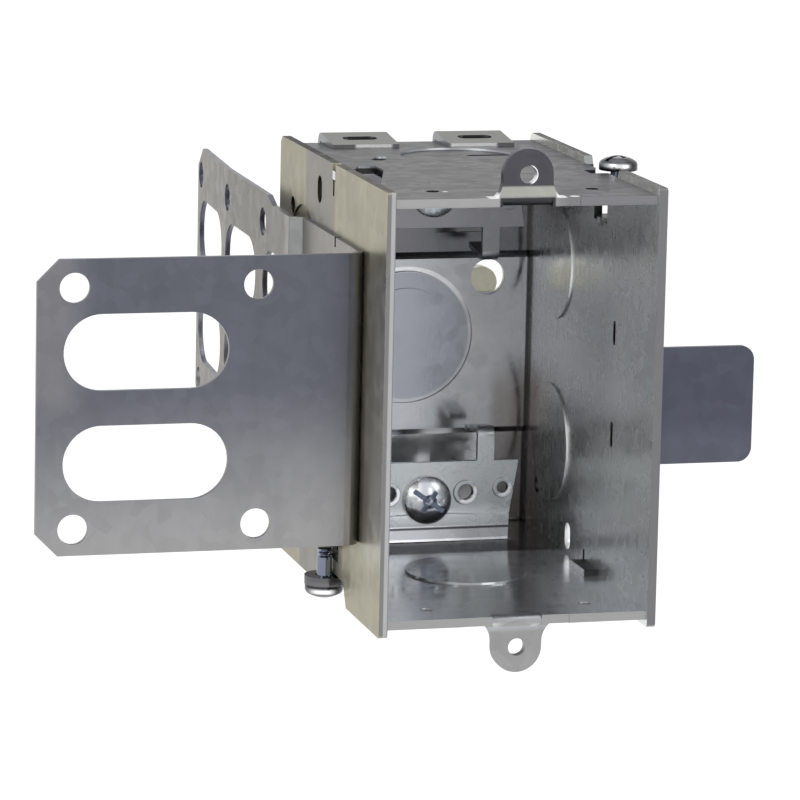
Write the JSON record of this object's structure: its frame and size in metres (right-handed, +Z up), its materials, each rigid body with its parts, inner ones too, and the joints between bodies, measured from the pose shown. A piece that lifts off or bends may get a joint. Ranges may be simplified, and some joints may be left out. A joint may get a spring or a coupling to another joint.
{
  "type": "gangable outlet box",
  "caption": "Gangable galvanised steel device box for new work, with a stud bracket, a drywall tab, knockouts and inside cable clamps.",
  "frame": {"origin": "middle of the open front, halfway between the two device screw holes, in line with the front edges of the side plates", "axes": "+X to the right seen from the front, +Y back into the wall, +Z up"},
  "size_m": [0.1299, 0.1474, 0.0924],
  "materials": {
    "body_sheet": "satin",
    "side_sheet": "satin",
    "bracket_sheet": "satin",
    "tab_sheet": "satin",
    "clamp_sheet": "satin",
    "screw_zinc": "polished"
  },
  "bodies": {
    "root": {"box_body": "body_sheet", "side_plate_left": "side_sheet", "side_plate_right": "side_sheet", "ganging_screw_left": "screw_zinc", "ganging_screw_right": "screw_zinc", "stud_bracket": "bracket_sheet", "drywall_tab": "tab_sheet", "clamp_upper": "clamp_sheet", "clamp_lower": "clamp_sheet", "clamp_screw_upper": "screw_zinc", "clamp_screw_lower": "screw_zinc"}
  },
  "joints": []
}
